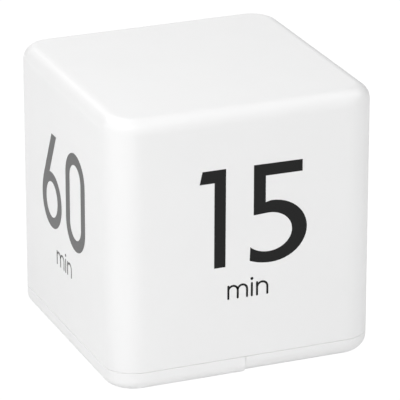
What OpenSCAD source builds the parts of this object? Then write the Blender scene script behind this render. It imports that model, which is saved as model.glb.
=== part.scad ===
// Cube timer that is set by the face it is turned to.
// Origin: the middle of the underside. +Z is up.
// The 15 minute face looks along -Y and the 60 minute face along -X.

/* [Case] */
// Width, depth and height of the cube
cube_size = 63.5; // [63.5:0.5:66]
// Thickness of the shell's walls
wall = 2; // [1.6:0.1:2.2]
// Radius of the four upright edges
side_round = 7.3; // [6.8:0.1:8]
// Radius of the edges round the top face
top_round = 3.4; // [2.5:0.1:4.5]
// Height of the seam that runs round the case
seam_z = 4.4; // [4.4:0.1:4.8]
// Height of the gap at that seam
seam_gap = 0.04; // [0.04:0.02:0.2]
// Bevel on the edges that meet at the seam
seam_bevel = 0.12; // [0.08:0.02:0.2]

/* [Base] */
// Radius of the lower edge of the base cover
base_round = 3.6; // [2.5:0.1:3.8]
// Thickness of the base cover's floor
floor_t = 1.6; // [1.4:0.1:1.8]
// Where the base cover and the battery door meet, left of the middle
split_x = -0.3; // [-0.4:0.05:-0.2]
// Width of the gap between them
split_gap = 0.1; // [0.06:0.02:0.4]

/* [Battery door] */
// Radius of the lower edge of the door
door_round = 2.4; // [1.8:0.1:3]
// Thickness of the door's floor
door_t = 1.8; // [1.6:0.1:1.8]
// Radius of the door's lower edge beside the base cover
door_end_round = 1; // [0.6:0.1:1.2]

/* [Cells] */
// Diameter of one AAA cell
cell_d = 10.5; // [10.3:0.1:10.5]
// Length of one cell, with its button
cell_len = 44.5; // [44.1:0.1:44.5]

/* [Display] */
// Width of the display glass
glass_w = 24; // [22:0.5:24]
// Depth of the front glass, with its contact ledge
glass_d = 17; // [16:0.5:17]
// Thickness of each glass
glass_t = 0.7; // [0.5:0.1:0.7]

/* [Switch] */
// How far the power switch slides
switch_travel = 3; // [2:0.5:3]
// Length of the switch knob
knob_l = 5; // [4:0.5:5]
// Width of the switch knob
knob_w = 3.4; // [3:0.2:3.4]

/* [Buzzer] */
// Diameter of the brass buzzer disc
disc_d = 20; // [18:0.5:20]

/* [Tilt switches] */
// Diameter of the ball
ball_d = 3.6; // [3:0.1:3.6]
// Length of the can that the ball rolls in
tilt_len = 9; // [8.5:0.5:10]

/* [Hidden] */
$fn = 64;

// Small amount that one solid reaches into another, so that they join or cut cleanly
lap = 0.5;
// Longer than anything here, for cuts that go right through
far = 100;

// Case: half widths and the straight part of each side
half = cube_size / 2;
corner = half - side_round;
inner_half = half - wall;
rim_top = seam_z - seam_gap;

// The ledge of the base cover that stands inside the shell
fit_gap = 0.1;
ledge_half = inner_half - fit_gap;
ledge_t = 1.2;
ledge_top = 6.4;

// Case screws: four, from below, into bosses in the shell's corners
screw_at = half - 5.15;
boss_r = 2.8;
boss_top = 16;
pilot_r = 0.95;
land_low = 5.9;
land_top = 7.1;
head_r = 2;
screw_post_r = head_r + 1.1;
head_h = 1.3;
shaft_len = 7;
cross_l = 2.4;
cross_w = 0.5;
cross_deep = 0.7;

// Base cover
base_left = split_x + split_gap / 2;
door_right = split_x - split_gap / 2;
deck_low = seam_z;
deck_top = seam_z + 1.6;
partition_x = 0.2;
partition_t = 1.2;

// Battery bay, open below: two cells side by side along Y
bay_wall = 1.2;
bay_right = -1;
jacket_t = 0.2;
button_r = 1.9;
button_h = 1;
cell_gap = 0.1;
side_gap = 0.25;
inner_cell_x = bay_right - side_gap - cell_d / 2;
outer_cell_x = inner_cell_x - cell_gap - cell_d;
bay_left = outer_cell_x - cell_d / 2 - side_gap;
bay_half = cell_len / 2 + 1.35;
bay_out = bay_half + bay_wall;
cell_z = 8.5;
bay_top = cell_z + cell_d / 2 + 0.45;
bay_low = 2.45;
outer_wall_low = 3.3;
contact_t = 0.4;
plate_w = 8;
plate_low = 4.2;
pad_top = 3;
tab_w = 3;
tab_top = 17.6;

// Rails under the deck that carry the door, and the door's lips that run on them
rail_in = 25.4;
rail_web = 0.8;
rail_out = 28.9;
rail_low = 2.5;
rail_top = 3.25;
rail_start = -23.5;
lip_in = 26.6;
lip_low = 3.45;
lip_start = -24.4;
lip_end = -2.5;

// Door tongues that reach under the bay wall and into the base cover
tongue_y = 14;
tongue_w = 5.6;
tongue_root = -4;
tongue_end = 1.7;
tongue_low = 1.75;
tongue_top = 2.3;

// Grooves under the door for the thumb
grip_x = -15;
grip_pitch = 2.4;
grip_w = 1.1;
grip_l = 16;
grip_deep = 0.35;

// Circuit board
board_low = 7.4;
board_t = 1.2;
board_top = board_low + board_t;
board_left = 2.4;
board_right = inner_half - 0.55;
board_half = inner_half - 0.85;
board_notch = 23;
post_r = 1.9;
board_pilot_r = 0.8;
posts = [[5, 25.3], [27, 9.5], [5, -26], [20.5, -26]];

// Parts on the board: places on it and sizes
lead_r = 0.25;
lead_pitch = 1.27;
cap_at = [14, -14];
cap_r = 4.5;
cap_h = 1.2;
cap_edge = 0.8;
crystal_at = [20.5, -14];
crystal_r = 1;
transistor_at = [10, -24];
transistor_r = 2.3;
transistor_flat = 1.3;
transistor_lift = 2;
resistors_at = [8, -4];
resistor_size = [2, 1.25, 0.5];
capacitor_at = [20, 20];
capacitor_r = 2.5;

// Display, in the front half of the base
show_x = 15;
glass_y = -14;
ledge_w = 3;
glass_z = 2;
film_t = 0.2;
view_y = glass_y - ledge_w / 2;
view_w = 21;
view_d = 12;
window_w = 23;
window_d = 14;
window_t = 0.8;
window_seat = 1;
holder_wall = 0.8;
strip_y = glass_y + glass_d / 2 - 1.6;
strip_t = 2;

// Power switch
switch_x = 15;
switch_y = 1.5;
knob_x = switch_x - switch_travel / 2;
slot_l = knob_l + switch_travel + 0.4;
slot_w = knob_w + 0.4;
skirt_l = 12.4;
skirt_w = 6;
lever_w = 1.5;
knob_low = 0.3;
grip_low = 0.5;
skirt_low = floor_t + 0.15;
skirt_t = 0.65;
neck_l = 4;
neck_top = 4;
lever_low = 2.8;
lever_top = 5;
plate_l = 2.8;
plate_z = 4.6;
plate_top = 5.7;
can_l = 9;
can_w = 4.6;
can_h = 2.8;
can_t = 0.3;
can_low = 4.2;
terminal_low = 6;
terminal_pitch = 2.5;
dish_l = 2;
dish_w = 1.5;

// Buzzer and lamp
sound_hole_r = 0.9;
sound_ring = 4;
disc_t = 0.2;
buzzer_x = 15;
buzzer_y = 17;
ring_t = 1.6;
ring_top = 3.2;
ring_r = disc_d / 2 + 0.4;
led_x = 26;
led_y = 1.5;
led_r = 1.5;
led_low = 0.3;
led_flange_low = 4.2;
led_flange_t = 1;

// Tilt switches: ball switches lying on the board, one along X and one along Y
tilt_wall = 0.74;
tilt_r = ball_d / 2 + 0.06 + tilt_wall;
tilt_z = board_top + tilt_r + 0.1;
plug_depth = 1.2;
ball_mid = tilt_wall + (tilt_len - tilt_wall - plug_depth) / 2;
tilt_x_at = [9.5, 8];
tilt_y_at = [22, -7];

// Wires: radius over the insulation and the routes through the case
wire_r = 0.6;
positive_route = [
    [-6.5, 23.15, 16.6], [-6.5, 22.3, 16.6], [-6, 21, 16.8], [-4, 20.2, 17.2], [0, 19.6, 16.4],
    [3.6, 19, 13.6], [5.8, 18.6, 10.4], [6, 18.6, 8.6],
];
negative_route = [
    [-17, 23.15, 16.6], [-17, 22.3, 16.6], [-16.4, 20.4, 17], [-14, 18.6, 17.4], [-7, 17.2, 17.4],
    [0, 16.6, 16.4], [3.8, 16, 13.4], [5.8, 15.8, 10.4], [6, 15.8, 8.6],
];
signal_route = [[15, 17, 3.6], [15, 16.8, 4.8], [13, 15.4, 5.4], [11.2, 14.2, 6.2], [11, 14, 7.4]];
ground_route = [[23.4, 17, 3.4], [23.4, 16.8, 4.6], [23.2, 15, 5.2], [23, 13.4, 6.2], [23, 13.2, 7.4]];
buzzer_wire_r = 0.4;

// ---- Shared shapes ----

// Quarter of a disc, with its centre on the origin
module quarter_disc(r) {
    intersection() {
        circle(r = r);
        square(r);
    }
}

// Section from a corner's axis outward, bevelled at the lower outer edge and rounded at the upper one
module edge_section(reach, height, round_r) {
    side = height - round_r;
    polygon([[0, 0], [reach - seam_bevel, 0], [reach, seam_bevel], [reach, side], [0, side]]);
    translate([0, side]) square([reach - round_r, round_r]);
    translate([reach - round_r, side]) quarter_disc(round_r);
}

// Square block with round upright edges and a rounded edge round its top
module rounded_block(reach, height, round_r) {
    translate([-corner, -corner, 0]) cube([2 * corner, 2 * corner, height]);
    for (turn = [0:90:270])
        rotate(turn) translate([corner, corner, 0]) {
            rotate_extrude(angle = 90) edge_section(reach, height, round_r);
            rotate([90, 0, 0]) linear_extrude(2 * corner) edge_section(reach, height, round_r);
        }
}

// The same block with its rounded edge round the bottom
module footed_block(height, round_r) {
    translate([0, 0, height]) mirror([0, 0, 1]) rounded_block(side_round, height, round_r);
}

// Upright prism on the same corner axes, for the space inside the walls
module rounded_prism(outer, height) {
    reach = outer - corner;
    linear_extrude(height) {
        square(2 * corner, center = true);
        for (turn = [0:90:270])
            rotate(turn) {
                translate([corner, -corner]) square([reach, 2 * corner]);
                translate([corner, corner]) quarter_disc(reach);
            }
    }
}

// Box from its lowest corner to its highest
module span(low, high) {
    translate(low) cube(high - low);
}

// Puts its children at the four case screws
module at_screws() {
    for (x = [-1, 1], y = [-1, 1])
        translate([x * screw_at, y * screw_at, 0]) children();
}

// Puts its children at the board's posts
module at_posts() {
    for (p = posts) translate(p) children();
}

// ---- Round wire swept along a route ----

function unit(v) = v / norm(v);

// Point on the smooth curve through a, b, c and d, between b and c
function curve_point(a, b, c, d, t) =
    b + (c - a) * t / 2 + (2 * a - 5 * b + 4 * c - d) * t * t / 2 + (3 * b - a - 3 * c + d) * t * t * t / 2;

// Points of the smooth curve through a route
function smooth(route, steps) = let (last = len(route) - 1) concat(
    [for (i = [0:last - 1], s = [0:steps - 1])
        curve_point(route[max(i - 1, 0)], route[i], route[i + 1], route[min(i + 2, last)], s / steps)],
    [route[last]]
);

// Directions along a list of points
function headings(path) = let (last = len(path) - 1)
    [for (i = [0:last]) unit(path[min(i + 1, last)] - path[max(i - 1, 0)])];

// A sideways direction at every point, carried along without twist
function sideways(heading, start) =
    [for (i = 0, s = start; i < len(heading);
        i = i + 1, s = i < len(heading) ? unit(s - (s * heading[i]) * heading[i]) : s) s];

module tube(path, r, sides = 8, start = [0.3, 0.5, 0.8]) {
    heading = headings(path);
    side = sideways(heading, unit(start - (start * heading[0]) * heading[0]));
    last = len(path) - 1;
    points = [for (i = [0:last], k = [0:sides - 1]) let (turn = 360 * k / sides)
        path[i] + r * (cos(turn) * side[i] + sin(turn) * cross(heading[i], side[i]))];
    walls = [for (i = [0:last - 1], k = [0:sides - 1])
        let (a = i * sides + k, b = i * sides + (k + 1) % sides)
        each [[a, a + sides, b], [b, a + sides, b + sides]]];
    ends = [[for (k = [0:sides - 1]) k], [for (k = [sides - 1:-1:0]) last * sides + k]];
    polyhedron(points, concat(walls, ends), convexity = 4);
}

// ---- Case ----

module case_shell() {
    color("white")
    difference() {
        union() {
            difference() {
                translate([0, 0, seam_z]) rounded_block(side_round, cube_size - seam_z, top_round);
                translate([0, 0, seam_z - lap]) rounded_prism(inner_half, cube_size - wall - seam_z + lap);
            }
            at_screws() translate([0, 0, land_top]) cylinder(r = boss_r, h = boss_top - land_top);
        }
        at_screws() translate([0, 0, land_top - lap]) cylinder(r = pilot_r, h = shaft_len + 2);
    }
}

// Floor and rim of the right half
module base_tray() {
    difference() {
        intersection() {
            footed_block(rim_top, base_round);
            span([base_left, -far, -far], [far, far, far]);
        }
        translate([0, 0, floor_t]) rounded_prism(ledge_half - ledge_t, far);
    }
}

// Ledge that stands up inside the shell on the right half
module base_ledge() {
    difference() {
        translate([0, 0, floor_t]) rounded_prism(ledge_half, ledge_top - floor_t);
        rounded_prism(ledge_half - ledge_t, far);
        span([-far, -far, -far], [partition_x, far, far]);
    }
}

// Everything of the base cover that stands inside the shell's outline
module base_inside() {
    intersection() {
        union() {
            span([-far, -far, deck_low], [partition_x + partition_t, far, deck_top]);
            span([partition_x, -far, lap], [partition_x + partition_t, far, deck_top]);
            at_screws() translate([0, 0, deck_low]) cylinder(r = screw_post_r, h = land_top - deck_low);
            for (y = [-1, 1])
                translate([screw_at, y * screw_at, lap]) cylinder(r = screw_post_r, h = land_top - lap);
        }
        rounded_prism(ledge_half, far);
    }
}

// Bay walls and roof, with the rails beside it
module bay_block() {
    span([bay_left - bay_wall, -bay_out, bay_low], [partition_x, bay_out, bay_top + bay_wall]);
    for (side = [0, 1])
        mirror([0, side, 0]) {
            span([rail_start, rail_in, rail_low], [bay_right, rail_in + rail_web, deck_low + lap]);
            span([rail_start, rail_in, rail_low], [bay_right, rail_out, rail_top]);
        }
}

// Small stands on the floor: board posts, buzzer ring and the frame that the glass rests on
module floor_stands() {
    at_posts() translate([0, 0, lap]) cylinder(r = post_r, h = board_low - lap);
    translate([buzzer_x, buzzer_y, lap])
        difference() {
            cylinder(r = ring_r, h = ring_top - lap);
            cylinder(r = ring_r - ring_t, h = far);
        }
    translate([show_x - glass_w / 2, glass_y - glass_d / 2, lap]) cube([glass_w, glass_d, glass_z - lap]);
}

// Openings of the floor: window with its seat, switch slot with its dish, lamp hole and sound holes
module floor_openings() {
    translate([show_x - view_w / 2, view_y - view_d / 2, -lap]) cube([view_w, view_d, far]);
    translate([show_x - window_w / 2 + 0.2, view_y - window_d / 2 + 0.4, floor_t])
        cube([window_w - 0.4, window_d - 0.8, far]);
    translate([show_x - window_w / 2, view_y - window_d / 2, -lap])
        cube([window_w, window_d, window_seat + lap]);
    translate([switch_x - slot_l / 2, switch_y - slot_w / 2, -lap])
        cube([slot_l, slot_w, floor_t + 2 * lap]);
    translate([switch_x - slot_l / 2 - dish_l, switch_y - slot_w / 2 - dish_w, -lap])
        cube([slot_l + 2 * dish_l, slot_w + 2 * dish_w, lap + grip_low]);
    translate([led_x, led_y, -lap]) cylinder(r = led_r + 0.1, h = floor_t + 2 * lap);
    translate([buzzer_x, buzzer_y, -lap]) cylinder(r = sound_hole_r, h = floor_t + 2 * lap);
    for (turn = [0:60:300])
        translate([buzzer_x, buzzer_y, -lap]) rotate(turn) translate([sound_ring, 0, 0])
            cylinder(r = sound_hole_r, h = floor_t + 2 * lap);
}

// Slots in the bay's roof for one contact's tab at a cell's end
module tab_slot(x, y) {
    span([x - tab_w / 2 - 0.2, y - 0.7, bay_top - lap], [x + tab_w / 2 + 0.2, y + 0.1, tab_top]);
}

module base_cover() {
    color("white")
    difference() {
        union() {
            base_tray();
            base_ledge();
            base_inside();
            bay_block();
            floor_stands();
        }
        span([bay_left, -bay_half, -lap], [bay_right, bay_half, bay_top]);
        span(
            [bay_left - bay_wall - lap, -bay_out - lap, -lap],
            [bay_left + lap, bay_out + lap, outer_wall_low]
        );
        tab_slot(inner_cell_x, bay_half);
        tab_slot(outer_cell_x, bay_half);
        for (y = [-1, 1])
            translate([partition_x - lap, y * tongue_y - tongue_w / 2 - 0.2, floor_t])
                cube([partition_t + 2 * lap, tongue_w + 0.4, tongue_top + 0.2 - floor_t]);
        floor_openings();
        at_posts() translate([0, 0, floor_t + 1]) cylinder(r = board_pilot_r, h = far);
        at_screws() translate([0, 0, -lap]) cylinder(r = head_r + 0.2, h = land_low + lap);
        at_screws() cylinder(r = pilot_r + 0.25, h = far);
    }
}

module case_screws() {
    color("silver")
    at_screws()
        difference() {
            union() {
                translate([0, 0, land_low - head_h]) cylinder(r = head_r, h = head_h);
                translate([0, 0, land_low - lap])
                    cylinder(r = pilot_r, h = land_top - land_low + shaft_len);
            }
            for (turn = [0, 90])
                rotate(turn) translate([-cross_l / 2, -cross_w / 2, land_low - head_h - lap])
                    cube([cross_l, cross_w, lap + cross_deep]);
        }
}

// ---- Battery door ----

// Section of the door's end beside the base cover, rounded below
module door_end_section() {
    translate([-far, door_end_round]) square([far + door_right, far]);
    translate([-far, 0]) square([far + door_right - door_end_round, door_end_round]);
    translate([door_right - door_end_round, door_end_round]) mirror([0, 1]) quarter_disc(door_end_round);
}

module battery_door() {
    color("white")
    difference() {
        union() {
            difference() {
                intersection() {
                    footed_block(rim_top, door_round);
                    rotate([90, 0, 0]) translate([0, 0, -far / 2]) linear_extrude(far) door_end_section();
                }
                translate([0, 0, door_t]) rounded_prism(inner_half, far);
            }
            for (side = [0, 1])
                mirror([0, side, 0]) {
                    span([lip_start, lip_in, lip_low], [lip_end, inner_half + lap, rim_top]);
                    translate([tongue_root, tongue_y - tongue_w / 2, door_t - lap])
                        cube([2, tongue_w, tongue_top - door_t + lap]);
                    translate([tongue_root, tongue_y - tongue_w / 2, tongue_low])
                        cube([tongue_end - tongue_root, tongue_w, tongue_top - tongue_low]);
                }
        }
        for (i = [0:4])
            translate([grip_x + grip_pitch * i, -grip_l / 2, -lap]) cube([grip_w, grip_l, lap + grip_deep]);
    }
}

module battery_pad() {
    color("dimgray")
    span([-21, -12, door_t], [-4.5, 12, pad_top]);
}

// ---- Cells and their contacts ----

// One cell with its flat end at the origin and its button along +Y
module cell() {
    rotate([-90, 0, 0]) {
        cylinder(d = cell_d - 2 * jacket_t, h = cell_len - button_h);
        cylinder(r = button_r, h = cell_len);
    }
}

module cell_jacket() {
    rotate([-90, 0, 0]) translate([0, 0, jacket_t])
        difference() {
            cylinder(d = cell_d, h = cell_len - button_h - 2 * jacket_t);
            translate([0, 0, -lap]) cylinder(d = cell_d - 2 * jacket_t, h = cell_len);
        }
}

// Places a cell: the inner one has its button at the back, the outer one at the front
module place_inner() {
    translate([inner_cell_x, bay_half - contact_t - cell_len, cell_z]) children();
}

module place_outer() {
    translate([outer_cell_x, cell_len + contact_t - bay_half, cell_z]) rotate(180) children();
}

module inner_cell() {
    color("silver") place_inner() cell();
}

module inner_cell_jacket() {
    color("green") place_inner() cell_jacket();
}

module outer_cell() {
    color("silver") place_outer() cell();
}

module outer_cell_jacket() {
    color("green") place_outer() cell_jacket();
}

// Contact plate against the bay's back wall, with its tab through the roof
module end_contact(x) {
    span([x - plate_w / 2, bay_half - contact_t, plate_low], [x + plate_w / 2, bay_half, bay_top - 0.3]);
    span([x - tab_w / 2, bay_half - contact_t, 10], [x + tab_w / 2, bay_half, tab_top]);
}

module positive_contact() {
    color("silver") end_contact(inner_cell_x);
}

module negative_contact() {
    color("silver") end_contact(outer_cell_x);
}

module bridge_contact() {
    color("silver")
    span(
        [outer_cell_x - plate_w / 2, -bay_half, plate_low],
        [inner_cell_x + plate_w / 2, contact_t - bay_half, bay_top - 0.3]
    );
}

// Conical spring along +Y, wide at the plate and narrow at the cell
module cell_spring() {
    height = 2 * bay_half - 2 * contact_t - cell_len;
    spring_wire = 0.25;
    end_gap = 0.05;
    rise = height - 2 * spring_wire - 2 * end_gap;
    turns = 2.5;
    wide = 3.6;
    path = [for (i = [0:50]) let (t = i / 50, a = 360 * turns * t, r = wide * (1 - t / 2))
        [r * cos(a), spring_wire + end_gap + rise * t, r * sin(a)]];
    tube(path, spring_wire, 6);
}

module battery_springs() {
    color("silver") {
        translate([inner_cell_x, contact_t - bay_half, cell_z]) cell_spring();
        translate([outer_cell_x, bay_half - contact_t, cell_z]) rotate(180) cell_spring();
    }
}

module positive_wire() {
    color("red") tube(smooth(positive_route, 5), wire_r);
}

module negative_wire() {
    color("black") tube(smooth(negative_route, 5), wire_r);
}

// ---- Circuit board ----

module circuit_board() {
    color("darkgreen")
    difference() {
        span([board_left, -board_half, board_low], [board_right, board_half, board_top]);
        for (side = [0, 1])
            mirror([0, side, 0]) span([board_notch, board_notch, 0], [far, far, far]);
        at_posts() cylinder(r = board_pilot_r + 0.3, h = far);
    }
}

module board_screws() {
    color("silver")
    at_posts()
        difference() {
            union() {
                translate([0, 0, board_top]) cylinder(r = 1.7, h = 1);
                translate([0, 0, floor_t + 2])
                    cylinder(r = board_pilot_r, h = board_top - floor_t - 2 + lap);
            }
            for (turn = [0, 90])
                rotate(turn) translate([-1, -0.2, board_top + 0.5]) cube([2, 0.4, far]);
        }
}

module controller_cap() {
    core_r = cap_r - cap_edge;
    color("black")
    translate([cap_at[0], cap_at[1], board_top])
        rotate_extrude() {
            square([core_r, cap_h]);
            translate([core_r, 0]) square([cap_edge, cap_h - cap_edge]);
            translate([core_r, cap_h - cap_edge]) quarter_disc(cap_edge);
        }
}

module crystal() {
    color("silver")
    translate([crystal_at[0], crystal_at[1], board_top + crystal_r])
        rotate([0, 90, 0]) cylinder(r = crystal_r, h = 6 * crystal_r);
}

module transistor() {
    color("black")
    translate([transistor_at[0], transistor_at[1], board_top]) {
        translate([0, 0, transistor_lift])
            difference() {
                cylinder(r = transistor_r, h = 2 * transistor_r);
                span([-far, transistor_flat, -lap], [far, far, far]);
            }
        for (x = [-lead_pitch, 0, lead_pitch])
            translate([x, 0, 0]) cylinder(r = lead_r, h = transistor_lift + lap);
    }
}

module resistors() {
    color("black")
    for (i = [0:2]) translate([resistors_at[0] + 3.2 * i, resistors_at[1], board_top]) cube(resistor_size);
}

module capacitor() {
    color("navy")
    translate([capacitor_at[0], capacitor_at[1], board_top]) cylinder(r = capacitor_r, h = 2.4 * capacitor_r);
}

// ---- Display ----

module display_window() {
    color("gray")
    translate([show_x - window_w / 2 + 0.1, view_y - window_d / 2 + 0.1, window_seat - window_t])
        cube([window_w - 0.2, window_d - 0.2, window_t]);
}

// Thin film over the part of the glass that shows
module display_film(z) {
    translate([show_x - window_w / 2 + 0.4, view_y - window_d / 2 + 0.6, z])
        cube([window_w - 0.8, window_d - 1.2, film_t]);
}

module front_polariser() {
    color("gray") display_film(glass_z - film_t);
}

module front_glass() {
    color("lightgray")
    translate([show_x - glass_w / 2, glass_y - glass_d / 2, glass_z]) cube([glass_w, glass_d, glass_t]);
}

module rear_glass() {
    color("lightgray")
    translate([show_x - glass_w / 2, glass_y - glass_d / 2, glass_z + glass_t])
        cube([glass_w, glass_d - ledge_w, glass_t]);
}

module reflector() {
    color("darkgray") display_film(glass_z + 2 * glass_t);
}

module display_holder() {
    back = glass_z + 2 * glass_t + film_t;
    pocket_w = glass_w + 2 * fit_gap;
    pocket_d = glass_d + 2 * fit_gap;
    outer_w = pocket_w + 2 * holder_wall;
    outer_d = pocket_d + 2 * holder_wall;
    color("dimgray")
    difference() {
        translate([show_x - outer_w / 2, glass_y - outer_d / 2, floor_t])
            cube([outer_w, outer_d, board_low - floor_t]);
        translate([show_x - pocket_w / 2, glass_y - pocket_d / 2, floor_t - lap])
            cube([pocket_w, pocket_d, back + lap - floor_t]);
        translate([show_x - view_w / 2, view_y - view_d / 2, 0]) cube([view_w, view_d, far]);
        translate([show_x - glass_w / 2 + 0.9, strip_y - strip_t / 2 - 0.1, 0])
            cube([glass_w - 1.8, strip_t + 0.2, far]);
    }
}

module contact_strip() {
    color("hotpink")
    span(
        [show_x - glass_w / 2 + 1, strip_y - strip_t / 2, glass_z + glass_t],
        [show_x + glass_w / 2 - 1, strip_y + strip_t / 2, board_low]
    );
}

// ---- Power switch ----

module switch_knob() {
    color("black")
    translate([knob_x, switch_y, 0])
        difference() {
            union() {
                translate([-knob_l / 2, -knob_w / 2, knob_low])
                    cube([knob_l, knob_w, skirt_low + skirt_t / 2 - knob_low]);
                translate([-skirt_l / 2, -skirt_w / 2, skirt_low]) cube([skirt_l, skirt_w, skirt_t]);
                translate([-neck_l / 2, -knob_w / 2, skirt_low + skirt_t / 2])
                    cube([neck_l, knob_w, neck_top - skirt_low - skirt_t / 2]);
            }
            translate([0, 0, lever_low - 2 * fit_gap])
                linear_extrude(far) square(lever_w + 2 * fit_gap, center = true);
            for (x = [-1.5, 0, 1.5]) translate([x - 0.3, -far / 2, 0]) cube([0.6, far, grip_low]);
        }
}

module switch_slider() {
    color("white")
    translate([knob_x, switch_y, 0]) {
        translate([-lever_w / 2, -lever_w / 2, lever_low]) cube([lever_w, lever_w, lever_top - lever_low]);
        translate([-neck_l / 2, -plate_l / 2, plate_z]) cube([neck_l, plate_l, plate_top - plate_z]);
    }
}

module switch_can() {
    color("silver")
    translate([switch_x, switch_y, can_low])
        difference() {
            translate([-can_l / 2, -can_w / 2, 0]) cube([can_l, can_w, can_h]);
            translate([can_t - can_l / 2, can_t - can_w / 2, can_t])
                cube([can_l - 2 * can_t, can_w - 2 * can_t, far]);
            translate([0, 0, -lap]) linear_extrude(far)
                square([lever_w + switch_travel + 0.4, lever_w + 0.4], center = true);
        }
}

module switch_terminals() {
    insert_l = can_l - 2 * can_t - 2 * fit_gap;
    insert_w = can_w - 2 * can_t - 2 * fit_gap;
    color("tan")
    translate([switch_x, switch_y, 0]) {
        translate([-insert_l / 2, -insert_w / 2, terminal_low])
            cube([insert_l, insert_w, can_low + can_h - terminal_low]);
        for (x = [-terminal_pitch, 0, terminal_pitch])
            translate([x, 0, terminal_low + lap]) cylinder(r = 0.35, h = board_low - terminal_low - lap);
    }
}

// ---- Buzzer and lamp ----

module buzzer_disc() {
    color("gold") translate([buzzer_x, buzzer_y, ring_top]) cylinder(d = disc_d, h = disc_t);
}

module buzzer_ceramic() {
    color("ivory")
    translate([buzzer_x, buzzer_y, ring_top + disc_t]) cylinder(d = 0.7 * disc_d, h = disc_t);
}

module buzzer_signal_wire() {
    color("red") tube(smooth(signal_route, 4), buzzer_wire_r);
}

module buzzer_ground_wire() {
    color("black") tube(smooth(ground_route, 4), buzzer_wire_r);
}

module led_lens() {
    color("red")
    translate([led_x, led_y, 0]) {
        translate([0, 0, led_low + led_r]) sphere(led_r);
        translate([0, 0, led_low + led_r]) cylinder(r = led_r, h = led_flange_low + lap - led_low - led_r);
        translate([0, 0, led_flange_low]) cylinder(r = led_r + 0.4, h = led_flange_t);
    }
}

module led_leads() {
    leads_low = led_flange_low + led_flange_t;
    color("silver")
    for (x = [-lead_pitch, lead_pitch])
        translate([led_x + x, led_y, leads_low]) cylinder(r = lead_r, h = board_low - leads_low);
}

// ---- Tilt switches, drawn along +X from the origin ----

module tilt_can() {
    rotate([0, 90, 0])
        difference() {
            cylinder(r = tilt_r, h = tilt_len);
            translate([0, 0, tilt_wall]) cylinder(r = tilt_r - tilt_wall, h = far);
        }
}

module tilt_plug() {
    reach = tilt_len + 2.2;
    translate([tilt_len - plug_depth, 0, 0]) rotate([0, 90, 0])
        cylinder(r = tilt_r - tilt_wall, h = plug_depth);
    translate([tilt_len, 0, 0]) rotate([0, 90, 0]) cylinder(r = tilt_r, h = 1);
    for (y = [-lead_pitch, lead_pitch]) {
        translate([tilt_len + lap, y, 0]) rotate([0, 90, 0])
            cylinder(r = lead_r, h = reach - tilt_len - lap);
        translate([reach, y, 0]) sphere(lead_r);
        translate([reach, y, board_top - tilt_z]) cylinder(r = lead_r, h = tilt_z - board_top);
    }
}

module tilt_ball() {
    translate([ball_mid, 0, 0]) sphere(d = ball_d);
}

module place_tilt_x() {
    translate([tilt_x_at[0], tilt_x_at[1], tilt_z]) children();
}

module place_tilt_y() {
    translate([tilt_y_at[0], tilt_y_at[1], tilt_z]) rotate(90) children();
}

module tilt_x_can() {
    color("goldenrod") place_tilt_x() tilt_can();
}

module tilt_x_plug() {
    color("black") place_tilt_x() tilt_plug();
}

module tilt_x_ball() {
    color("silver") place_tilt_x() tilt_ball();
}

module tilt_y_can() {
    color("goldenrod") place_tilt_y() tilt_can();
}

module tilt_y_plug() {
    color("black") place_tilt_y() tilt_plug();
}

module tilt_y_ball() {
    color("silver") place_tilt_y() tilt_ball();
}

case_shell();
base_cover();
case_screws();
battery_door();
battery_pad();
inner_cell();
inner_cell_jacket();
outer_cell();
outer_cell_jacket();
positive_contact();
negative_contact();
bridge_contact();
battery_springs();
positive_wire();
negative_wire();
circuit_board();
board_screws();
controller_cap();
crystal();
transistor();
resistors();
capacitor();
display_window();
front_polariser();
front_glass();
rear_glass();
reflector();
display_holder();
contact_strip();
switch_knob();
switch_slider();
switch_can();
switch_terminals();
buzzer_disc();
buzzer_ceramic();
buzzer_signal_wire();
buzzer_ground_wire();
led_lens();
led_leads();
tilt_x_can();
tilt_x_plug();
tilt_x_ball();
tilt_y_can();
tilt_y_plug();
tilt_y_ball();
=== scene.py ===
from math import cos, pi, radians, sin

import bmesh
import bpy
from mathutils import Matrix, Vector


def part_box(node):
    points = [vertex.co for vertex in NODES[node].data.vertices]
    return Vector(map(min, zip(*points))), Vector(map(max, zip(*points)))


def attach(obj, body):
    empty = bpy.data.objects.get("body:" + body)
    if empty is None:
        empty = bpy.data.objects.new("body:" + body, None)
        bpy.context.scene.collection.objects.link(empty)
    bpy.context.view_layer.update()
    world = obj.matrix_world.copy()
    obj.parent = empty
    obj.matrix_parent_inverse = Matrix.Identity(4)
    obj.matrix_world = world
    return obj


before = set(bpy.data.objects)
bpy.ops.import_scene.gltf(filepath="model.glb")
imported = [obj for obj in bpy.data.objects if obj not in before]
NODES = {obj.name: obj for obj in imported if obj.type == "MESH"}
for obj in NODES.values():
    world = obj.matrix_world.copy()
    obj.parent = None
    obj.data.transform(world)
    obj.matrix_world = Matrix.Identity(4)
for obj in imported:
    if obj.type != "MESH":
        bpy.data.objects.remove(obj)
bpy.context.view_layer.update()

MM = 0.001

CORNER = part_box("case_shell")[1]
HALF = CORNER.x
TOP = CORNER.z


def add(name, data):
    """A new object in the scene."""
    obj = bpy.data.objects.new(name, data)
    bpy.context.scene.collection.objects.link(obj)
    return obj


# ---- Materials ----

def new_material(name):
    """An empty material with its Principled shader, ready for textures in object space."""
    material = bpy.data.materials.new(name)
    material.use_nodes = True
    tree = material.node_tree
    return material, tree, tree.nodes["Principled BSDF"]


def object_space(tree):
    """Coordinates that stay with the piece, in metres."""
    return tree.nodes.new("ShaderNodeTexCoord").outputs["Object"]


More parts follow.
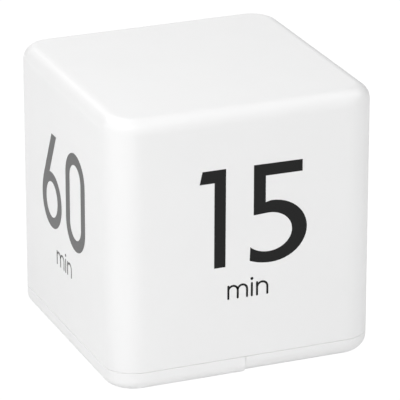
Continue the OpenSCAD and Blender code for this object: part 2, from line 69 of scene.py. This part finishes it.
def noise(tree, scale, detail=3.0, stretch=(1, 1, 1)):
    """Noise over the piece itself. The scale is in features per metre."""
    mapping = tree.nodes.new("ShaderNodeMapping")
    mapping.inputs["Scale"].default_value = stretch
    texture = tree.nodes.new("ShaderNodeTexNoise")
    texture.inputs["Scale"].default_value = scale
    texture.inputs["Detail"].default_value = detail
    tree.links.new(object_space(tree), mapping.inputs["Vector"])
    tree.links.new(mapping.outputs["Vector"], texture.inputs["Vector"])
    return texture.outputs["Fac"]


def vary(tree, factor, low, high, socket):
    """Drives a number socket from low to high as the factor goes from 0.3 to 0.7."""
    remap = tree.nodes.new("ShaderNodeMapRange")
    remap.inputs["From Min"].default_value = 0.3
    remap.inputs["From Max"].default_value = 0.7
    remap.inputs["To Min"].default_value = low
    remap.inputs["To Max"].default_value = high
    tree.links.new(factor, remap.inputs["Value"])
    tree.links.new(remap.outputs["Result"], socket)


def tint(tree, factor, dark, light, socket):
    """Drives a colour socket from dark to light as the factor goes from 0.35 to 0.65."""
    ramp = tree.nodes.new("ShaderNodeValToRGB")
    ramp.color_ramp.elements[0].position = 0.35
    ramp.color_ramp.elements[1].position = 0.65
    ramp.color_ramp.elements[0].color = (*dark, 1)
    ramp.color_ramp.elements[1].color = (*light, 1)
    tree.links.new(factor, ramp.inputs["Fac"])
    tree.links.new(ramp.outputs["Color"], socket)


def bump(tree, shader, height, distance):
    """Raises the surface by a height texture, with the distance in metres."""
    node = tree.nodes.new("ShaderNodeBump")
    node.inputs["Distance"].default_value = distance
    node.inputs["Strength"].default_value = 1
    tree.links.new(height, node.inputs["Height"])
    tree.links.new(node.outputs["Normal"], shader.inputs["Normal"])


def shade(colour, amount):
    """The same hue, darker under 1 and lighter over it."""
    return tuple(c * amount for c in colour)


def plastic(name, colour, rough=0.3, grain=2500, depth=2e-6, mottle=0.97, coat=0.0, ior=1.5):
    """Moulded plastic: faint mottling, gloss that varies a little and a fine moulded texture."""
    material, tree, shader = new_material(name)
    tint(tree, noise(tree, 60), shade(colour, mottle), colour, shader.inputs["Base Color"])
    vary(tree, noise(tree, 180), rough * 0.85, rough * 1.15, shader.inputs["Roughness"])
    bump(tree, shader, noise(tree, grain), depth)
    shader.inputs["IOR"].default_value = ior
    shader.inputs["Coat IOR"].default_value = ior
    shader.inputs["Coat Weight"].default_value = coat
    return material


def metal(name, colour, rough=0.3, stretch=(1, 1, 12), grain=1500, depth=1e-6):
    """Rolled or plated metal with fine drawn lines."""
    material, tree, shader = new_material(name)
    lines = noise(tree, grain, 4, stretch)
    tint(tree, noise(tree, 300), shade(colour, 0.85), colour, shader.inputs["Base Color"])
    vary(tree, lines, rough * 0.7, rough * 1.3, shader.inputs["Roughness"])
    bump(tree, shader, lines, depth)
    shader.inputs["Metallic"].default_value = 1
    return material


def foam(name, colour):
    """Closed-cell foam: matt, with open pores, each painted darker towards its middle as painted shade
    in its hollow.
    """
    material, tree, shader = new_material(name)
    pores = tree.nodes.new("ShaderNodeTexVoronoi")
    pores.inputs["Scale"].default_value = 2200
    tree.links.new(object_space(tree), pores.inputs["Vector"])
    # Painted shade: the colour darkens towards each pore's middle, where the bump below sinks it.
    tint(tree, pores.outputs["Distance"], shade(colour, 0.5), colour, shader.inputs["Base Color"])
    bump(tree, shader, pores.outputs["Distance"], 1e-4)
    shader.inputs["Roughness"].default_value = 0.95
    return material


def clear(name, colour, rough=0.03, ior=1.5):
    """Clear plate with faint scuffs."""
    material, tree, shader = new_material(name)
    tint(tree, noise(tree, 90), shade(colour, 0.96), colour, shader.inputs["Base Color"])
    vary(tree, noise(tree, 900, 6), rough, rough * 2.5, shader.inputs["Roughness"])
    shader.inputs["Transmission Weight"].default_value = 1
    shader.inputs["IOR"].default_value = ior
    return material


def laminate(name, colour):
    """Circuit board: solder mask over a glass weave, with faint copper lines under it."""
    material, tree, shader = new_material(name)
    where = object_space(tree)
    weave = tree.nodes.new("ShaderNodeTexWave")
    weave.inputs["Scale"].default_value = 900
    weave.inputs["Distortion"].default_value = 1
    tree.links.new(where, weave.inputs["Vector"])
    tracks = tree.nodes.new("ShaderNodeTexBrick")
    tracks.inputs["Scale"].default_value = 350
    tracks.inputs["Mortar Size"].default_value = 0.06
    tracks.inputs["Color1"].default_value = (*colour, 1)
    tracks.inputs["Color2"].default_value = (*shade(colour, 0.85), 1)
    tracks.inputs["Mortar"].default_value = (*shade(colour, 1.7), 1)
    tree.links.new(where, tracks.inputs["Vector"])
    tree.links.new(tracks.outputs["Color"], shader.inputs["Base Color"])
    bump(tree, shader, weave.outputs["Fac"], 2e-6)
    shader.inputs["Roughness"].default_value = 0.32
    return material


def jacket(name, colour, band, pale=(0.8, 0.78, 0.7), blur=0.1 * MM):
    """Printed battery sleeve: coloured, with a pale band from the given place along Y onwards."""
    material, tree, shader = new_material(name)
    axes = tree.nodes.new("ShaderNodeSeparateXYZ")
    tree.links.new(object_space(tree), axes.inputs["Vector"])
    ramp = tree.nodes.new("ShaderNodeMapRange")
    ramp.inputs["From Min"].default_value = band - blur
    ramp.inputs["From Max"].default_value = band + blur
    tree.links.new(axes.outputs["Y"], ramp.inputs["Value"])
    mix = tree.nodes.new("ShaderNodeMix")
    mix.data_type = "RGBA"
    mix.inputs["A"].default_value = (*colour, 1)
    mix.inputs["B"].default_value = (*pale, 1)
    tree.links.new(ramp.outputs["Result"], mix.inputs["Factor"])
    tree.links.new(mix.outputs["Result"], shader.inputs["Base Color"])
    vary(tree, noise(tree, 400), 0.18, 0.3, shader.inputs["Roughness"])
    return material


def paint(material, *names):
    """Gives CAD nodes their finish."""
    for name in names:
        for slot in NODES[name].material_slots:
            slot.material = material


def paint_everything():
    """The finish of every CAD node."""
    green, band = (0.01, 0.09, 0.045), 12 * MM
    paint(plastic("case_plastic", (0.86, 0.86, 0.86), 0.33, 900, 1.5e-6, 0.992),
          "case_shell", "base_cover", "battery_door")
    paint(foam("pad_foam", (0.03, 0.03, 0.032)), "battery_pad")
    paint(metal("screw_steel", (0.55, 0.56, 0.58), 0.35), "case_screws", "board_screws", "switch_can")
    paint(metal("cell_steel", (0.62, 0.62, 0.63), 0.28, (1, 1, 10)), "inner_cell", "outer_cell")
    paint(jacket("inner_jacket", green, band), "inner_cell_jacket")
    paint(jacket("outer_jacket", green, band), "outer_cell_jacket")
    paint(metal("contact_steel", (0.72, 0.72, 0.72), 0.2, (12, 1, 1)),
          "positive_contact", "negative_contact", "bridge_contact", "battery_springs")
    paint(plastic("wire_red", (0.45, 0.01, 0.008), 0.4, 3000), "positive_wire", "buzzer_signal_wire")
    paint(plastic("wire_black", (0.015, 0.015, 0.016), 0.4, 3000), "negative_wire", "buzzer_ground_wire")
    paint(laminate("board_laminate", (0.008, 0.09, 0.035)), "circuit_board")
    paint(plastic("black_resin", (0.012, 0.012, 0.013), 0.45, 4000, 4e-6),
          "controller_cap", "transistor", "resistors", "tilt_x_plug", "tilt_y_plug")
    paint(metal("crystal_can", (0.7, 0.7, 0.72), 0.18, (12, 1, 1)), "crystal")
    paint(plastic("capacitor_sleeve", (0.012, 0.02, 0.1), 0.25), "capacitor")
    paint(clear("clear_window", (0.97, 0.98, 0.98)), "display_window")
    paint(clear("polariser_film", (0.45, 0.48, 0.44), 0.1, 1.35), "front_polariser")
    paint(clear("display_glass", (0.93, 0.97, 0.95), 0.01), "front_glass", "rear_glass")
    paint(metal("reflector_film", (0.5, 0.53, 0.47), 0.45, (8, 1, 1)), "reflector")
    paint(plastic("holder_plastic", (0.015, 0.015, 0.016), 0.5), "display_holder")
    paint(plastic("strip_rubber", (0.4, 0.1, 0.14), 0.7, 3000, 6e-6), "contact_strip")
    paint(plastic("knob_plastic", (0.02, 0.02, 0.021), 0.42, 3500, 5e-6), "switch_knob")
    paint(plastic("slider_plastic", (0.75, 0.73, 0.68), 0.45), "switch_slider")
    paint(plastic("terminal_board", (0.18, 0.09, 0.03), 0.55), "switch_terminals")
    paint(metal("buzzer_brass", (0.75, 0.52, 0.2), 0.3, (14, 1, 1)), "buzzer_disc")
    paint(plastic("ceramic", (0.72, 0.7, 0.62), 0.6, 4000, 3e-6), "buzzer_ceramic")
    paint(plastic("lamp_lens", (0.5, 0.012, 0.008), 0.12, coat=0.5), "led_lens")
    paint(metal("tinned_lead", (0.7, 0.7, 0.68), 0.25), "led_leads")
    paint(metal("tilt_brass", (0.78, 0.58, 0.26), 0.25, (14, 1, 1)), "tilt_x_can", "tilt_y_can")
    paint(metal("ball_steel", (0.7, 0.7, 0.71), 0.08), "tilt_x_ball", "tilt_y_ball")


# ---- Printed numerals: thin films of ink on the four sides ----

INK = 0.02 * MM          # how far the ink stands proud of the plastic
INK_BURIED = 0.02 * MM   # and how far it reaches into it
SAME = 1e-7              # points closer than this, in metres, are one point
ARC_STEPS = 24
CAP_STEPS = 6            # a stroke's round end


def arc(centre, across, up, start, end, steps=ARC_STEPS):
    """Points of an elliptical arc, from one angle in degrees to another."""
    angles = [radians(start + (end - start) * i / steps) for i in range(steps + 1)]
    return [(centre[0] + across * cos(a), centre[1] + up * sin(a)) for a in angles]


def bend(start, pull, end, steps=12):
    """Points of a quadratic curve."""
    points = []
    for i in range(steps + 1):
        t = i / steps
        a, b, c = (1 - t) ** 2, 2 * t * (1 - t), t * t
        points.append((a * start[0] + b * pull[0] + c * end[0], a * start[1] + b * pull[1] + c * end[1]))
    return points


def one():
    """Numeral 1. Each glyph is a list of outlines in millimetres, above its foot and to the right of
    its origin, which for the 1 is the stem's left side."""
    return [[(2.62, 0.04), (-0.08, 0.04), (0, 20.22), (-3.52, 20.22), (-2.84, 23.2), (2.74, 23.2)]]


def five():
    """Numeral 5: a flag, a short stem and an open bowl, from its tail's tip at 0."""
    stem = [(0.83, 23.1), (12.5, 22.97), (12.5, 20.22), (3.7, 20.28), (3.7, 14.05)]
    outer = arc((5.07, 6.98), 8.61, 7.35, 90, -90) + arc((5.07, 6.98), 10.26, 7.35, -90, -120.1, 8)
    inner = arc((4.46, 6.89), 5.84, 4.6, -139, -90, 8) + arc((4.46, 6.89), 5.62, 4.6, -90, 90)
    return [stem + outer + inner + [(0.82, 11.3)]]


def six():
    """Numeral 6: a straight slanted stroke that runs into a round bowl."""
    bowl = arc((6.32, 6.73), 6.32, 6.73, 103, -180, 40)
    shoulder = bend((0, 6.73), (0, 9.5), (1.4, 12.2))
    hole = arc((6.28, 6.86), 3.7, 4.3, 0, 350, 35)
    return [[(9.62, 22.95)] + bowl + shoulder + [(6.6, 22.95)], hole]


def zero():
    """Numeral 0: two straight sides between round ends."""
    outer = arc((6.4, 16.78), 6.17, 6.37, 0, 180) + arc((6.4, 6.2), 6.17, 6.4, 180, 360)
    inner = arc((6.4, 16.75), 3.53, 3.66, 0, 180) + arc((6.4, 6.24), 3.53, 3.65, 180, 360)
    return [outer, inner]


def three():
    """Numeral 3: a small open bowl over a larger one, with a short waist."""
    lower = arc((5.3, 6.7), 6.9, 6.7, -126, 61.4)
    upper = arc((5.5, 17.45), 5.9, 5.75, -58.3, 132)
    upper_in = arc((5.4, 17.4), 3.1, 3.1, 128, -90)
    lower_in = arc((5.3, 6.9), 4.1, 4.3, 90, -130)
    return [lower + upper + upper_in + [(3.6, 14.3), (3.6, 11.2)] + lower_in]


def placed(outline, left, foot):
    """The outline with its origin moved to the given place on a side."""
    return [(x + left, z + foot) for x, z in outline]


def film(bm, outlines, turn, lift=INK):
    """Adds a flat film with the given outlines, the holes after the outer one, on the side that the
    front would reach by that turn. The outlines are in millimetres across and up that side."""
    spin = Matrix.Rotation(radians(turn), 4, "Z")
    rings = []
    for outline in outlines:
        points = [spin @ Vector((x * MM, -HALF - lift, z * MM)) for x, z in outline]
        apart = [p for p, before in zip(points, points[-1:] + points) if (p - before).length > SAME]
        verts = [bm.verts.new(p) for p in apart]
        rings.append([bm.edges.new((a, b)) for a, b in zip(verts, verts[1:] + verts[:1])])
    edges = [edge for ring in rings for edge in ring]
    front = bmesh.ops.triangle_fill(bm, edges=edges, use_beauty=True, use_dissolve=False)["geom"]
    faces = [g for g in front if isinstance(g, bmesh.types.BMFace)]
    outward = spin @ Vector((0, -1, 0))
    for face in faces:
        face.normal_update()
        if face.normal.dot(outward) < 0:
            face.normal_flip()
    back = bmesh.ops.extrude_face_region(bm, geom=faces, use_keep_orig=True)["geom"]
    moved = [g for g in back if isinstance(g, bmesh.types.BMVert)]
    bmesh.ops.translate(bm, verts=moved, vec=-outward * (lift + INK_BURIED))


def stroke(path, width):
    """Outline of a stroke with round ends along a path of points."""
    left, right = [], []
    last = len(path) - 1
    for i, (x, z) in enumerate(path):
        x0, z0 = path[max(i - 1, 0)]
        x1, z1 = path[min(i + 1, last)]
        length = ((x1 - x0) ** 2 + (z1 - z0) ** 2) ** 0.5
        nx, nz = -(z1 - z0) / length * width / 2, (x1 - x0) / length * width / 2
        left.append((x + nx, z + nz))
        right.append((x - nx, z - nz))

    def cap(centre, first):
        """Half circle from a side point round the end, clockwise as the stroke is walked."""
        dx, dz = first[0] - centre[0], first[1] - centre[1]
        turns = [-pi * k / CAP_STEPS for k in range(1, CAP_STEPS)]
        return [(centre[0] + dx * cos(t) - dz * sin(t), centre[1] + dx * sin(t) + dz * cos(t))
                for t in turns]

    return left + cap(path[-1], left[-1]) + right[::-1] + cap(path[0], right[0])


# The word under the numerals, in millimetres
LETTER_W = 0.5
X_HEIGHT = 3.45
WORD_SHIFT = 0.05   # the word stands this far to the right of the middle
WORD_DROP = 7.96    # from the numerals' foot down to the baseline
M_STEMS = (-4.65, -2.4, -0.15)
I_STEM = 1.0
N_STEMS = (2.25, 4.75)
DOT_UP = 4.3
DOT_R = 0.36
ARCH_LIFT = 0.8     # the arches' share of the ink's height, so that no face lies on a stem's


def letter_strokes():
    """Centre lines of the letters m, i and n, from the middle of the word, above the baseline."""
    top = X_HEIGHT - LETTER_W / 2
    low = LETTER_W / 2

    def arch(left, right):
        middle, reach = (left + right) / 2, (right - left) / 2
        return arc((middle, top - reach), reach, reach, 165, 0, 12) + [(right, low)]

    stems = [[(x, low), (x, top)] for x in (M_STEMS[0], I_STEM, N_STEMS[0])]
    return stems, [arch(*M_STEMS[:2]), arch(*M_STEMS[1:]), arch(*N_STEMS)]


def word_min(bm, foot, turn):
    """The word min, with its baseline at the given height."""
    stems, arches = letter_strokes()
    for path in stems:
        film(bm, [placed(stroke(path, LETTER_W), WORD_SHIFT, foot)], turn)
    for path in arches:
        film(bm, [placed(stroke(path, LETTER_W), WORD_SHIFT, foot)], turn, INK * ARCH_LIFT)
    film(bm, [arc((I_STEM + WORD_SHIFT, foot + DOT_UP), DOT_R, DOT_R, 0, 345, 23)], turn)


def numerals(name, digits, foot, turn):
    """One side's print. Digits is a list of (glyph, where its left side goes)."""
    bm = bmesh.new()
    for glyph, left in digits:
        film(bm, [placed(outline, left, foot) for outline in glyph()], turn)
    word_min(bm, foot - WORD_DROP, turn)
    bmesh.ops.recalc_face_normals(bm, faces=bm.faces)
    mesh = bpy.data.meshes.new(name)
    bm.to_mesh(mesh)
    bm.free()
    mesh.materials.append(INK_MATERIAL)
    piece = add(name, mesh)
    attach(piece, "root")


INK_MATERIAL = plastic("printed_ink", (0.005, 0.005, 0.005), 0.16, 3000, 5e-7, coat=1, ior=1.22)


# ---- Studio ----

LIGHTS_AIM = 0.03       # height that the lights point at
BACKDROP_DROP = 0.0005  # how far the backdrop lies under the floor


def direction(azimuth, elevation):
    """Unit vector away from the timer, by angles in degrees; azimuth 0 is the front, 90 the right."""
    turn, rise = radians(azimuth), radians(elevation)
    return Vector((sin(turn) * cos(rise), -cos(turn) * cos(rise), sin(rise)))


def camera():
    """Long lens, a little above and to the left of the front."""
    azimuth, elevation, distance = -22.13, 21.21, 0.7925
    aside, below = 1.416, 1.195   # the picture's middle, from the timer's, in millimetres
    back = direction(azimuth, elevation)
    right = Vector((cos(radians(azimuth)), sin(radians(azimuth)), 0))
    up = back.cross(right)
    target = Vector((0, 0, TOP / 2)) + right * aside * MM - up * below * MM
    data = bpy.data.cameras.new("camera")
    data.lens = 311.7
    data.sensor_width = 36
    data.clip_start = 0.05
    data.clip_end = 50
    obj = add("camera", data)
    axes = Matrix((right, up, back)).transposed().to_4x4()
    obj.matrix_world = Matrix.Translation(target + back * distance) @ axes
    bpy.context.scene.camera = obj


def softbox(name, azimuth, elevation, power, distance=1, side=0.55, reflected=True):
    """Square light turned to the timer's middle, unseen by the camera. One that isn't reflected gives
    its soft light without a glare on the top from the far side."""
    away = direction(azimuth, elevation)
    data = bpy.data.lights.new(name, "AREA")
    data.shape = "SQUARE"
    data.size = side
    data.energy = power
    obj = add(name, data)
    obj.rotation_euler = (-away).to_track_quat("-Z", "Y").to_euler()
    obj.location = away * distance + Vector((0, 0, LIGHTS_AIM))
    obj.visible_camera = False
    obj.visible_glossy = reflected


def ground(name, height, material):
    """Wide level sheet of the studio, at the given height."""
    bm = bmesh.new()
    bmesh.ops.create_grid(bm, x_segments=2, y_segments=2, size=6)
    mesh = bpy.data.meshes.new(name)
    bm.to_mesh(mesh)
    bm.free()
    material.cycles.emission_sampling = "NONE"
    mesh.materials.append(material)
    obj = add(name, mesh)
    obj.location.z = height
    return obj


def studio():
    """A paper floor that lights the timer from below, on a white backdrop that only the camera sees."""
    scene = bpy.context.scene
    scene.view_settings.view_transform = "Standard"
    world = bpy.data.worlds.new("studio")
    world.use_nodes = True
    sky = world.node_tree.nodes["Background"]
    sky.inputs["Color"].default_value = (1, 1, 1, 1)
    sky.inputs["Strength"].default_value = 0.2
    scene.world = world
    softbox("front_left", -45, 48, 3.2)
    softbox("front_low", 10, 12, 1.88, reflected=False)
    softbox("front_high", 10, 48, 1.05)
    softbox("right_high", 80, 48, 2.2)
    softbox("back_right", 165, 12, 0.55)
    softbox("back_left", -160, 48, 2.65)
    softbox("left_near", -80, 32, 0.27, 0.32, 0.18, reflected=False)
    softbox("above", 0, 88, 0.12, 0.4, 0.3, reflected=False)

    paper, tree, shader = new_material("floor_paper")
    tint(tree, noise(tree, 8), (0.79, 0.79, 0.79), (0.81, 0.81, 0.81), shader.inputs["Base Color"])
    shader.inputs["Roughness"].default_value = 0.9
    shader.inputs["Emission Color"].default_value = (1, 1, 1, 1)
    shader.inputs["Emission Strength"].default_value = 0.1
    floor = ground("floor", 0, paper)
    floor.visible_camera = False

    glow, _, shader = new_material("backdrop_glow")
    shader.inputs["Base Color"].default_value = (0, 0, 0, 1)
    shader.inputs["Specular IOR Level"].default_value = 0
    shader.inputs["Emission Color"].default_value = (1, 1, 1, 1)
    shader.inputs["Emission Strength"].default_value = 1.05
    backdrop = ground("backdrop", -BACKDROP_DROP, glow)
    backdrop.visible_diffuse = False
    backdrop.visible_glossy = False
    backdrop.visible_transmission = False


# ---- The timer in its studio: each side's digits and where their left sides go, in millimetres ----

paint_everything()
numerals("numeral_15", [(one, -7.95), (five, 0.56)], 26.73, 0)
numerals("numeral_60", [(six, -13.75), (zero, 1.56)], 25.72, -90)
numerals("numeral_30", [(three, -13.4), (zero, 1.56)], 26.4, 90)
numerals("numeral_5", [(five, -7)], 26.5, 180)
camera()
studio()
